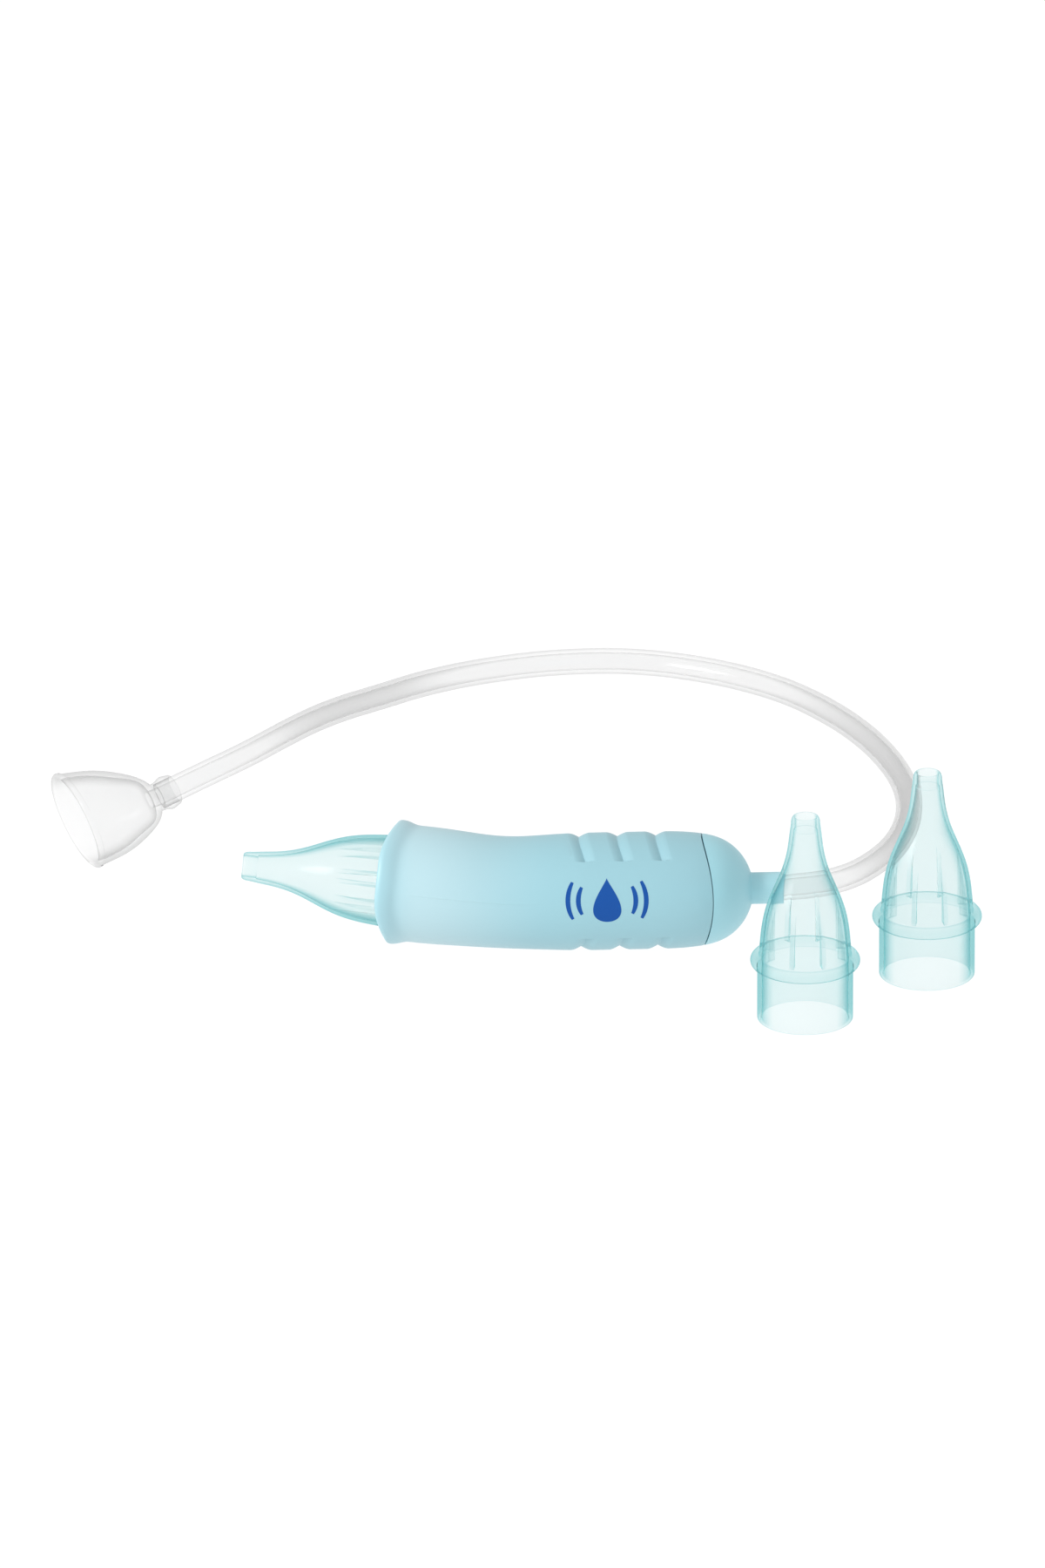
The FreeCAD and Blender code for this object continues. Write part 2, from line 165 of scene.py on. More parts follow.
def skin(name, points, round_only=False, crease=35):
    """A closed mesh over a grid of points in millimetres, its faces looking outwards.

    The signed volume is the sum over the faces of corner · (corner × corner) / 6, and a negative
    one means that every face has to be turned over. A grid that only closes round has a pole at
    each end, where its points merge into one."""
    rows, columns = points.shape[:2]
    i = np.arange(rows - 1 if round_only else rows)[:, None]
    j = np.arange(columns)[None, :]
    below, beside = (i + 1) % rows, (j + 1) % columns
    quads = np.stack(
        [i * columns + j, below * columns + j, below * columns + beside, i * columns + beside], axis=-1
    ).reshape(-1, 4)
    flat = points.reshape(-1, 3)
    a, b, c, d = (flat[quads[:, k]] for k in range(4))
    volume = (a * np.cross(b, c)).sum() / 6 + (a * np.cross(c, d)).sum() / 6
    if volume < 0:
        quads = quads[:, ::-1]
    mesh = bpy.data.meshes.new(name)
    mesh.from_pydata((flat * MM).tolist(), [], quads.tolist())
    if round_only:
        close_poles(mesh)
    mesh.shade_smooth()
    mesh.set_sharp_from_angle(angle=math.radians(crease))
    piece = bpy.data.objects.new(name, mesh)
    bpy.context.scene.collection.objects.link(piece)
    print("%s: %d faces, %.2f cm3 of material" % (name, len(mesh.polygons), abs(volume) / 1000))
    return piece


def close_poles(mesh):
    """Merges the points that lie on each other at a pole."""
    work = bmesh.new()
    work.from_mesh(mesh)
    bmesh.ops.remove_doubles(work, verts=work.verts, dist=1e-7)
    work.to_mesh(mesh)
    work.free()


def fitted(piece, body, node):
    """The piece moves with a body and stands for a solid, whose own mesh is hidden."""
    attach(piece, body)
    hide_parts(node)
    return piece


def round_wall(outline, angles):
    """A wall turned about z: each (z, r) of the outline on a circle, r cos, r sin, z."""
    z, r = np.asarray(outline, float).T[:, :, None]
    return np.stack([r * np.cos(angles), r * np.sin(angles), z + 0 * angles], axis=-1)


# %% [markdown]
# ## The hose
# A soft clear tube, 6 mm across with a 4 mm bore, pushed into the spigot of the handle and into the
# collar of the mouthpiece. It is the one piece with a life of its own: it lies on the table in a
# wide loop, and springs up a little where it is held at its ends. Its route is a NURBS curve whose
# control points lie along that loop. The wall is a mesh along the curve, because a curve with a
# bevel has no bore, and a clear tube shows its bore.

# %% Route of the hose
hose_r, hose_bore_r = 3.0, 2.0
hose_stop, hose_lead, hose_tail, hose_in_collar = 58.4, 11.3, 12.0, 20.7
spigot_end = 64.4
hose_path = [
    (54.4, 26.5, 14.5), (60.8, 36.9, 14.0), (65.5, 49.9, 13.1), (68.1, 65.2, 11.8),
    (69.0, 81.5, 10.2), (68.0, 98.5, 8.7), (64.8, 116.0, 7.3), (59.6, 134.2, 5.9),
    (51.5, 153.5, 4.3), (40.0, 171.3, 3.2), (24.0, 183.0, 3.05), (5.5, 189.4, 3.05),
    (-13.5, 188.3, 3.05), (-30.6, 180.6, 3.8), (-43.9, 165.9, 6.6), (-53.7, 147.0, 10.8),
    (-61.9, 129.3, 15.3), (-69.1, 113.2, 18.7), (-75.9, 99.9, 20.3), (-83.5, 89.4, 20.0),
]
hose_start = placed(np.array([[hose_stop, 0, 0], [hose_stop + hose_lead, 0, 0]]), handle_turn, bend)
hose_end = placed(
    np.array([[cup_offset, 0, hose_in_collar + hose_tail], [cup_offset, 0, hose_in_collar]]), cup_turn, cup_at
)
route = np.concatenate([hose_start, hose_path, hose_end]) * MM

route_curve = bpy.data.curves.new("hose_route", "CURVE")
route_curve.dimensions = "3D"
line = route_curve.splines.new("NURBS")
line.points.add(len(route) - 1)
line.points.foreach_set("co", np.column_stack([route, np.ones(len(route))]).ravel())
line.order_u = 3
line.use_endpoint_u = True
line.resolution_u = 12
route_object = bpy.data.objects.new("hose_route", route_curve)
route_mesh = bpy.data.meshes.new_from_object(route_object)
centreline = np.empty(len(route_mesh.vertices) * 3)
route_mesh.vertices.foreach_get("co", centreline)
centreline = centreline.reshape(-1, 3) / MM
bpy.data.objects.remove(route_object)
bpy.data.curves.remove(route_curve)
bpy.data.meshes.remove(route_mesh)

# %% Wall of the hose
hose_ring_gap, hose_columns = 1.2, 40


def hose_wall(path):
    """Rings along the path: centre + r (cos · side + sin · up), out on one radius, back on the other.

    Side is the path's direction × vertical, which is safe because the hose never stands upright,
    and up is side × direction."""
    along = np.concatenate([[0], np.cumsum(np.linalg.norm(np.diff(path, axis=0), axis=1))])
    at = np.linspace(0, along[-1], round(along[-1] / hose_ring_gap) + 1)
    centre = np.stack([np.interp(at, along, path[:, k]) for k in range(3)], axis=1)
    way = np.gradient(centre, axis=0)
    way /= np.linalg.norm(way, axis=1)[:, None]
    side = np.cross(way, (0, 0, 1))
    side /= np.linalg.norm(side, axis=1)[:, None]
    up = np.cross(side, way)
    a = np.linspace(0, 2 * np.pi, hose_columns, endpoint=False)[:, None]
    ring = np.cos(a) * side[:, None, :] + np.sin(a) * up[:, None, :]
    outer = centre[:, None, :] + hose_r * ring
    inner = centre[:, None, :] + hose_bore_r * ring
    return np.concatenate([outer, inner[::-1]]), along[-1]


hose_points, hose_length = hose_wall(centreline)
hose = fitted(skin("clear_hose", hose_points), "cap", "hose")
print("hose %.0f mm long" % hose_length)

# %% [markdown]
# ## The mouthpiece
# A small cup of the same clear silicone, with a rolled bead round its rim. The bowl is lopsided:
# its neck sits towards one side, so that it clears the chin. That is a round wall whose circles
# drift sideways as they narrow, so the outline is turned as usual and then sheared.

# %% Wall of the mouthpiece
neck_r, collar_r, collar_at, collar_end = 3.4, 4.0, 22.4, 24.8
socket_gap, socket_lead, bead_sweep = 0.03, 0.1, 235
wall_r = cup_r - 2 * rim_bead + cup_wall
bead_at = (rim_bead, cup_r - rim_bead)


def mouthpiece_outline():
    """(z, r) round the wall: rolled bead, bowl, neck and collar outside, then socket and bowl inside."""
    neck = (cup_depth, neck_r + 0.05)
    outer_knots = [(1.5, wall_r), (2.5, wall_r - 0.1), (8.4, 10.4), (14.5, 7.85), (18.1, 5.4), neck]
    collar_knots = [neck, (20.7, 3.45), (collar_at, collar_r), (23.9, 3.75), (collar_end, 3.35)]
    inner_knots = [(18.1, hose_bore_r), (17.7, 4.2), (14.1, 6.65), (8.0, 9.2), (2.5, 10.3)]
    inner_knots += [(rim_bead, bead_at[1] - rim_bead)]
    roll = np.radians(np.linspace(0, bead_sweep, 18))
    socket, socket_r = hose_in_collar - 0.05, hose_r + socket_gap
    return np.concatenate([
        np.stack([bead_at[0] - rim_bead * np.sin(roll), bead_at[1] - rim_bead * np.cos(roll)], axis=1),
        smooth_line(outer_knots, [(1, 0), (0.35, -0.94)], 26)[1:],
        smooth_line(collar_knots, [(0.6, -0.2), (0.5, -0.87)], 18)[1:],
        [(collar_end, hose_r + socket_lead), (collar_end - socket_lead, socket_r), (socket, socket_r)],
        [(socket, hose_bore_r)],
        smooth_line(inner_knots, [(0.05, 1), (-1, 0)], 26)[:-1],
    ])


cup_outline = mouthpiece_outline()
cup_angles = np.linspace(0, 2 * np.pi, 72, endpoint=False)
cup_points = round_wall(cup_outline, cup_angles)
cup_points[..., 0] += cup_offset * np.clip(cup_points[..., 2] / cup_depth, 0, 1)
mouthpiece = fitted(
    skin("mouthpiece_cup", placed(cup_points, cup_turn, cup_at)), "cup", "mouthpiece"
)

# %% [markdown]
# ## The handle's form
# Grip and cap share one outside: a bent barrel with a gentle waist, a flared lip that curves back
# above and below, and a domed rear end. It could be sculpted, but a hand-sized moulding is more
# exact as numbers: a centreline that bends evenly over 14 mm, and a radius for each place on it.

# %% Centreline and radius
waist_r, throat_r, belly_r = 12.88, 13.43, 13.5
bend_half, front_barrel, rear_barrel = 7.0, 19.0, 20.0
lip_r, lip_front, lip_sag, lip_flat = 14.3, 29.4, 3.3, 4.0
belly_end, dome_start, dome_r, handle_end = 33.0, 44.6, 13.05, 57.6
dome_knots = [
    (rear_barrel, belly_r), (belly_end, belly_r), (dome_start, dome_r),
    (50.6, 11.5), (54.8, 8.1), (handle_end, 0),
]
dome = smooth_line(dome_knots, [(1, 0), (0, -1)], 400)
front_way = np.array([math.cos(math.radians(front_rise)), 0, -math.sin(math.radians(front_rise))])
rear_way = np.array([1.0, 0, 0])


def on_handle(d, r, a):
    """Points r from the centreline, d behind the bend, at angle a: 0 on the near side, 90° on top.

    The centreline is straight before and behind the bend. In it the direction goes evenly from one
    to the other, so the centre is (1 - share)² of the front end plus share² of the rear end."""
    share = np.clip((d + bend_half) / (2 * bend_half), 0, 1)[..., None]
    d = d[..., None]
    curved = -bend_half * (1 - share) ** 2 * front_way + bend_half * share**2 * rear_way
    centre = np.where(d < -bend_half, d * front_way, np.where(d > bend_half, d * rear_way, curved))
    way = (1 - share) * front_way + share * rear_way
    way /= np.linalg.norm(way, axis=-1, keepdims=True)
    up = np.stack([-way[..., 2], 0 * way[..., 1], way[..., 0]], axis=-1)
    near = np.array([0, -1.0, 0])
    r, a = r[..., None], a[..., None]
    return placed(centre + r * (np.cos(a) * near + np.sin(a) * up), handle_turn, bend)


def barrel_radius(d):
    """The waist's radius plus the share sin² of what throat or belly has more; the dome behind."""
    front = waist_r + (throat_r - waist_r) * np.sin(np.clip(-d / front_barrel, 0, 1) * np.pi / 2) ** 2
    rear = waist_r + (belly_r - waist_r) * np.sin(np.clip(d / rear_barrel, 0, 1) * np.pi / 2) ** 2
    behind = np.minimum(np.interp(d, *dome.T), belly_r)
    return np.where(d < 0, front, np.where(d < rear_barrel, rear, behind))


# %% [markdown]
# ## The grip
# Pale blue plastic, moulded in two halves: a hairline where they met runs along each side near the
# front. Three V-shaped finger grooves cross the top and the belly and stop short of the sides. All
# of this is a change of radius on the grid, so the grid has more lines where it changes.

# %% Lip, grooves and seam as functions
groove_first, groove_pitch, groove_count = 17.6, 8.8, 3
groove_depth, groove_half, groove_reach = 0.95, 2.4, 9.9
groove_power, groove_apex, groove_end, groove_apron = 1.6, 0.03, 0.25, 2.6
seam_side, seam_radius, seam_gap = 48.3, 32.0, 0.3
lip_round, lip_inside_round, lip_roll, lip_lean = 1.3, 0.5, 12.0, 0.7
seam_chamfer, seam_seen = 0.08, 0.14
bulge_start, bulge_run = 9, 6
parting_half, parting_height, parting_stop, parting_fade = 0.22, 0.09, 9, 10
flare_knots = [(front_barrel, throat_r), (21.6, throat_r + 0.12), (23.3, lip_r - 0.2), (24.8, lip_r)]
flare = smooth_line(flare_knots, [(1, 0), (1, 0)], 14)


def lip_curve(a):
    """How far the rim lies in front of its highest and lowest points.

    It is an arc of one radius with a flat middle, rolled lip_roll degrees from the grooves, and the
    far side is lip_lean shorter."""
    radius = ((lip_r - lip_flat) ** 2 + lip_sag**2) / (2 * lip_sag)
    a = a - math.radians(lip_roll)
    off = np.clip(np.abs(lip_r * np.sin(a)) - lip_flat, 0, None)
    return lip_sag - radius + np.sqrt(radius**2 - off**2) - lip_lean * (1 - np.cos(a)) / 2


def seam_at(r, a):
    """Where the seam is: on a cylinder across the handle, so it bulges back at the sides."""
    return seam_side - seam_radius + np.sqrt(seam_radius**2 - (r * np.sin(a)) ** 2)


def bulge(d, a):
    """How far a ring at d is carried back at angle a: none up to the bend, as far as the seam behind."""
    top = seam_radius**2 - belly_r**2
    return ease((d - bulge_start) / bulge_run) * (np.sqrt(top + (belly_r * np.cos(a)) ** 2) - math.sqrt(top))


def groove_cut(ring, a):
    """Depth of the grooves on a ring, inside their reach.

    It is (1 - |x|) to the power 1.6, so sharp at the bottom and gentle at the shoulders."""
    middles = groove_first + groove_pitch * np.arange(groove_count)
    x = np.abs(ring[..., None] - middles).min(axis=-1) / groove_half
    v = np.clip(1 + groove_apex - np.sqrt(x**2 + groove_apex**2), 0, 1) ** groove_power
    inside = np.clip((groove_reach - np.abs(belly_r * np.cos(a))) / groove_end + 0.5, 0, 1)
    return groove_depth * v * inside


# %% Grid round the handle
at_parting, at_groove_ends = [0.4, 0.8, 1.6], [41.7, 42.1, 42.45, 42.83, 43.2, 43.6, 44.0]
quarter = np.unique(np.concatenate([np.linspace(0, 90, 25), at_parting, at_groove_ends]))
full_turn = np.concatenate([quarter, 180 - quarter, 180 + quarter, 360 - quarter])
around = np.radians(np.unique(np.round(full_turn, 4)))
around = around[around < 2 * np.pi - 1e-6]
bore_r, socket_r, mouth_r = 10.0, 11.05, 12.75
mouth_taper, mouth_straight, throat_start, rows_end = 0.1, 26.3, 8, 39
plug_socket_r, plug_socket_start = 10.9, 36.5
tip_seat, shoulder = 8.4, 23.3


def lip_rows():
    """From the rim's front edge over its round shoulder and down the flare: the rows follow the rim."""
    rim = lip_front - lip_sag + lip_curve(around)
    inside_r = mouth_r + mouth_taper * np.clip(rim - mouth_straight, 0, None)
    top_r = inside_r + lip_inside_round
    turn_over = np.radians(np.linspace(0, 90, 9))[:, None]
    s = rim - lip_round * (1 - np.cos(turn_over))
    r = top_r + (lip_r - top_r) * np.sin(turn_over)
    s_flare = flare[::-1, :1] + lip_curve(around)
    r_flare = flare[::-1, 1:] + 0 * around
    inner = np.radians(np.linspace(90, 0, 6))[:-1, None]
    s_in = rim - lip_inside_round + lip_inside_round * np.cos(inner)
    r_in = inside_r + lip_inside_round * (1 - np.sin(inner))
    return (-s, r), (-s_flare[1:], r_flare[1:]), (-s_in, r_in)


def grip_rows():
    """The outline of the grip's wall for each angle: d behind the bend and radius, row by row."""
    rim_round, flare_part, rim_inside = lip_rows()
    flat = np.zeros_like(around)
    s = np.linspace(front_barrel, throat_start, 12)[1:, None]
    throat = -(s + lip_curve(around) * ease((s - throat_start) / (front_barrel - throat_start)))
    across_groove = np.linspace(-groove_apron, groove_apron, 41)
    near_grooves = [groove_first + groove_pitch * k + x for k in range(groove_count) for x in across_groove]
    d = np.unique(np.concatenate([np.linspace(-bend_half, 15, 20), near_grooves, [37.9, rows_end]]))[:, None]
    middle = d + bulge(d, around)
    edge_r = np.interp(seam_side, *dome.T)
    share = np.linspace(0, 1, 9)[1:, None]
    last = middle[-1] + share * (seam_at(edge_r, around) - seam_chamfer - middle[-1])
    outer_d = np.concatenate([throat, middle, last])
    ring = np.concatenate([throat, d + flat, rows_end + share + flat])
    outer_r = barrel_radius(outer_d) - groove_cut(ring, around + 0 * outer_d)
    parting = np.clip(1 - np.abs(np.sin(around)) * belly_r / parting_half, 0, 1)
    outer_r = outer_r + parting_height * parting * ease((parting_stop - outer_d) / parting_fade)
    face_r = np.stack([outer_r[-1] - seam_chamfer, plug_socket_r + 0.2 + flat, plug_socket_r + flat])
    face_d = seam_at(face_r, around) - np.array([0, 0, 0.2])[:, None]
    inside = [
        (plug_socket_start, plug_socket_r), (plug_socket_start, bore_r),
        *((row, bore_r) for row in (28, 20, 12, 7, 5, 2.5, 0, -2.5, -5, -7, -tip_seat)),
        (-tip_seat, socket_r), (-16, socket_r), (-shoulder + 0.2, socket_r),
        (-shoulder, socket_r + 0.2), (-shoulder, mouth_r),
    ]
    in_d, in_r = (np.array(inside)[:, k, None] + flat for k in range(2))
    parts = [rim_round, flare_part, (outer_d, outer_r), (face_d, face_r), (in_d, in_r), rim_inside]
    return np.concatenate([p[0] for p in parts]), np.concatenate([p[1] for p in parts])


grip_d, grip_r = grip_rows()
grip_skin = skin("blue_grip", on_handle(grip_d, grip_r, around + 0 * grip_d), crease=28)
grip = fitted(grip_skin, "handle", "grip")

# %% [markdown]
# ## The rear cap
# The domed end of the handle is a cap with a plug that pushes into the grip. A ring of silicone in
# the plug's groove makes it airtight, and the short spigot on the dome holds the hose. The seam to
# the grip is curved, so the first rows follow it, and the rest is a plain turned wall.

# %% Wall of the rear cap
plug_r, plug_wall, plug_start = 10.85, 2.45, 37.5
seal_at, seal_groove, seal_groove_r = 41.5, 0.85, 9.37
dome_wall, spigot_r, boss_r, boss_start = 2.0, 3.65, 4.65, 51.5
spigot_fillet, spigot_gap, dome_edge_r, sweep_end = 0.2, 0.02, 10.41, 50.6


def cap_rows():
    """The outline of the cap's wall for each angle, from the seam over the dome and back inside."""
    flat = np.zeros_like(around)
    edge_r = np.interp(seam_side + seam_gap, *dome.T)
    start = seam_at(edge_r, around) + seam_seen + seam_chamfer
    face_r = np.stack([plug_r + flat, edge_r - 1.2 + flat, edge_r - seam_chamfer + flat])
    face_d = seam_at(face_r, around) + np.array([seam_gap, seam_gap, seam_seen])[:, None]
    share = np.linspace(0, 1, 9)[:, None]
    near_d = start + share * (sweep_end - start)
    near_r = np.interp(near_d, *dome.T)
    fillet_start = spigot_r + spigot_fillet
    far = dome[(dome[:, 0] > sweep_end + 0.2) & (dome[:, 1] > fillet_start)][::5]
    junction = np.interp(-fillet_start, -dome[:, 1], dome[:, 0])
    hollow = dome_r - dome_wall
    bowl = np.radians(np.linspace(math.degrees(math.asin(boss_r / hollow)), 70, 10))
    outline = np.concatenate([
        far,
        [(junction + spigot_fillet * (0.05 + 1 - math.cos(t)), fillet_start - spigot_fillet * math.sin(t))
         for t in np.radians(np.linspace(10, 90, 6))],
        [(58.8, spigot_r), (61, spigot_r), (spigot_end - 0.25, spigot_r),
         (spigot_end - 0.07, spigot_r - 0.07), (spigot_end, spigot_r - 0.25),
         (spigot_end, hose_r + 0.15), (spigot_end - 0.15, hose_r + spigot_gap),
         (hose_stop, hose_r + spigot_gap), (hose_stop, hose_bore_r),
         (boss_start, hose_bore_r), (boss_start, boss_r)],
        np.stack([dome_start + hollow * np.cos(bowl), hollow * np.sin(bowl)], axis=1),
        [(seam_side, dome_edge_r), (seam_side, plug_r - plug_wall), (42, plug_r - plug_wall),
         (plug_start, plug_r - plug_wall), (plug_start, plug_r - 0.4), (plug_start + 0.1, plug_r - 0.1),
         (plug_start + 0.4, plug_r), (seal_at - seal_groove, plug_r), (seal_at - seal_groove, seal_groove_r),
         (seal_at + seal_groove, seal_groove_r), (seal_at + seal_groove, plug_r)],
    ])
    d = np.concatenate([face_d, near_d, outline[:, :1] + flat])
    r = np.concatenate([face_r, near_r, outline[:, 1:] + flat])
    return d, r


cap_d, cap_r = cap_rows()
cap_skin = skin("blue_rear_cap", on_handle(cap_d, cap_r, around + 0 * cap_d), crease=28)
cap = fitted(cap_skin, "cap", "rear_cap")

# %% [markdown]
# ## The tips
# One soft tip sits in the handle and two spares stand on their skirts. The wall is under a
# millimetre and clear, so what the eye reads is its edges, the bead of the flange and the eight
# ribs inside the cone. Each rib pulls the inner wall inwards over a narrow angle.

# %% Wall of a tip
tip_height, tip_end_r, tip_bore_r = 49.7, 3.3, 2.5
skirt_r, skirt_inner_r, skirt_round = 11.0, 9.9, 0.5
flange_r, flange_z, flange_bead, shoulder_r = 12.6, 14.3, 1.35, 10.6
cone = [(17.5, 10.5), (22.1, 10.05), (27.5, 8.9), (31.8, 7.3), (36.4, 5.45), (41.8, 4.1)]
cone_end, cone_end_r, cone_wall, ledge_z = 46.3, 3.55, 0.8, 15.5
tip_round, nose_long, nose_swell = 0.15, 1.8, 0.05
rib_count, rib_width, rib_inner_r, rib_top = 8, 0.9, 7.9, 30.0
rib_edge_degrees, rib_fade = 0.9, 1.2
rib_turn = {"mounted": 20.0, "spare": 26.0}


def tip_outline():
    """(z, r) round the wall of a tip, and how much of a rib each point takes part in."""
    top, nose_r, nose_inner_r = flange_z + flange_bead, tip_end_r + nose_swell, tip_bore_r + tip_round
    outer_knots = [(top + 0.2, shoulder_r)] + cone
    outer_knots += [(cone_end, cone_end_r), (tip_height - nose_long, nose_r)]
    round_off = np.radians(np.linspace(0, 90, 9))[1:, None]
    nose = np.hstack([
        tip_height - nose_long * (1 - np.sin(round_off)),
        nose_inner_r + (nose_r - nose_inner_r) * np.cos(round_off),
    ])
    inner_knots = [(ledge_z + 0.2, shoulder_r - cone_wall)] + [(z, r - cone_wall) for z, r in cone]
    inner_knots += [(cone_end, cone_end_r - cone_wall)]
    outside = np.concatenate([
        corner((skirt_round, skirt_r - skirt_round), skirt_round, -90, 0, 5),
        [(4.5, skirt_r), (8.5, skirt_r)],
        [(flange_z - flange_bead - tip_round, skirt_r), (flange_z - flange_bead, skirt_r + tip_round)],
        corner((flange_z, flange_r - flange_bead), flange_bead, -80, 80, 11),
        [(top, shoulder_r + tip_round)],
        smooth_line(outer_knots, [(1, -0.02), (1, -0.08)], 44),
        nose,
    ])
    bore = np.array([
        (tip_height - tip_round, tip_bore_r), (tip_height - 1.5, tip_bore_r),
        (cone_end + 0.1, tip_bore_r), (cone_end, tip_bore_r + 0.1),
    ])
    cone_inside = smooth_line(inner_knots, [(1, -0.02), (1, -0.08)], 44)[::-1]
    skirt = [(z, skirt_inner_r) for z in (ledge_z, 9, 4, tip_round)] + [(0, skirt_inner_r + tip_round)]
    parts, ribbed = (outside, bore, cone_inside, skirt), (0, 0, 1, 0)
    return np.concatenate(parts), np.repeat(ribbed, [len(part) for part in parts])


def tip_points(kind):
    """The turned wall, with r pulled in to the ribs' inner radius where a rib stands.

    A rib is a plate across the cone, so its half width in angle is asin(half width / r)."""
    sector = 360 / rib_count
    beside_rib = np.array([1.5, 2.7, 3.2, 3.7, 4.6, 6.5, 9, 12, 16, 21])
    in_sector = np.concatenate([-beside_rib[::-1], [0], beside_rib])
    angles = np.radians((in_sector + sector * np.arange(rib_count)[:, None]).ravel())
    outline, ribbed = tip_outline()
    points = round_wall(outline, angles + math.radians(rib_turn[kind]))
    z, r = outline.T[:, :, None]
    off = np.abs((np.degrees(angles) + sector / 2) % sector - sector / 2)
    rib_half = np.degrees(np.arcsin(rib_width / 2 / r))
    inside_rib = np.clip((rib_half - off) / rib_edge_degrees + 0.5, 0, 1) * ribbed[:, None]
    inward = np.clip(r - rib_inner_r, 0, None) * (inside_rib * ease((rib_top - z) / rib_fade + 0.5))
    points[..., :2] *= ((r - inward) / r)[..., None]
    return points


# %% Seat one tip and stand two
seated_base = 10.4
mounted = placed(tip_points("mounted") + [0, 0, seated_base], tip_turn, bend)
nozzle = fitted(skin("mounted_tip", mounted), "tip", "nozzle")
spares = []
for name, body, node, spot in (
    ("front_spare_tip", "spare_front", "spare_nozzle_front", (44.2, -22.75, 0)),
    ("rear_spare_tip", "spare_rear", "spare_nozzle_rear", (72.3, 3.95, 0)),
):
    spares.append(fitted(skin(name, tip_points("spare") + spot), body, node))

# %% [markdown]
# ## A printed mark
# The maker prints a mark on the near side of the grip. Here it is a plain droplet between two
# strokes of moving air, which says what the thing is for. Ink from a printing pad is a film on the
# surface, so the mark is a thin closed skin that follows the barrel, three hundredths of a
# millimetre proud of it.

# %% Droplet and strokes
mark_at, mark_height, mark_depth = (24.0, 0.6), 0.03, 0.2


def ink(name, across, upward_mm):
    """A film on the grip's near side from flat shapes: rows from the middle out, then back beneath."""
    r = barrel_radius(mark_at[0] + across)
    angle = (mark_at[1] + upward_mm) / r
    top = on_handle(mark_at[0] + across, r + mark_height, angle)
    under = on_handle(mark_at[0] + across, r - mark_depth, angle)
    return skin(name, np.concatenate([top, under[::-1]]), round_only=True)


def droplet(half_width, half_height):
    """A drop's outline is x = sin t · sin(t/2)^1.5 / 0.78, z = cos t; the rows are shares of it."""
    t = np.linspace(0, 2 * np.pi, 64, endpoint=False)
    share = np.linspace(0, 1, 8)[:, None]
    x = np.sin(t) * np.sin(t / 2) ** 1.5 / 0.78
    return share * half_width * x, share * half_height * np.cos(t)


def air_stroke(start, sweep, radius, width):
    """A bow of air: points within half a width of an arc, its ends round."""
    t = np.linspace(0, 2 * np.pi, 48, endpoint=False)
    share = np.linspace(0, 1, 5)[:, None]
    bow = np.clip(1.25 * np.cos(t), -1, 1) * np.radians(sweep) / 2
    swell = share * width / 2 * np.sin(t)
    a = np.radians(start) + bow * share
    return (radius + swell) * np.cos(a), (radius + swell) * np.sin(a)


marks = [ink("printed_drop", *droplet(3.6, 5.2))]
for name, start, radius in (
    ("printed_stroke_1", 0, 6.6), ("printed_stroke_2", 0, 9.0),
    ("printed_stroke_3", 180, 6.6), ("printed_stroke_4", 180, 9.0),
):
    marks.append(ink(name, *air_stroke(start, 58, radius, 1.1)))
for mark in marks:
    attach(mark, "handle")

# %% [markdown]
# ## Materials
# A hex colour is how a screen shows it, while the renderer adds light linearly, so one function
# turns the first into the second. Another adds a node, sets it and links it.

# %% Colour and node helpers


def linear(hex_colour):
    """sRGB to linear light: c/12.92 for dark values, else ((c + 0.055) / 1.055) to the power 2.4."""
    c = np.array([int(hex_colour[k:k + 2], 16) for k in (1, 3, 5)]) / 255
    c = np.where(c <= 0.04045, c / 12.92, ((c + 0.055) / 1.055) ** 2.4)
    return (*c.tolist(), 1.0)


def new_material(name):
    """An empty material and its output node."""
    material = bpy.data.materials.new(name)
    material.use_nodes = True
    material.node_tree.nodes.clear()
    return material, material.node_tree.nodes.new("ShaderNodeOutputMaterial")


def add(material, kind, inputs, **settings):
    """A node of a kind: its settings set, and each input either linked to a socket or given a value."""
    node = material.node_tree.nodes.new(kind)
    for name, value in settings.items():
        setattr(node, name, value)
    for name, value in inputs.items():
        if isinstance(value, bpy.types.NodeSocket):
            material.node_tree.links.new(value, node.inputs[name])
        else:
            node.inputs[name].default_value = value
    return node


def link(material, output, node, name):
    material.node_tree.links.new(output, node.inputs[name])


def per_metre(size_mm):
    """A noise's scale for grains of that size: how many fit in a metre."""
    return 1000 / size_mm


def wear(material, *pieces):
    """The pieces take the material, whatever they had before."""
    for piece in pieces:
        piece.data.materials.clear()
        piece.data.materials.append(material)


def mixed(material, factor, first, second):
    """The colour output of a mix of two colours: inputs 6 and 7 of the node are its colours A and B."""
    a, b = (linear(colour) if isinstance(colour, str) else colour for colour in (first, second))
    return add(material, "ShaderNodeMix", {"Factor": factor, 6: a, 7: b}, data_type="RGBA").outputs[2]


def grained(material, at, grain_mm, detail, rough, strength, height_mm):
    """Roughness and normal from one noise: the rough spots are the high ones."""
    noise = add(material, "ShaderNodeTexNoise", {"Vector": at, "Scale": per_metre(grain_mm), "Detail": detail})
    height = noise.outputs["Fac"]
    dull = add(material, "ShaderNodeMapRange", {"Value": height, "To Min": rough[0], "To Max": rough[1]})
    relief = {"Height": height, "Strength": strength, "Distance": height_mm * MM}
    return dull.outputs["Result"], add(material, "ShaderNodeBump", relief).outputs["Normal"]
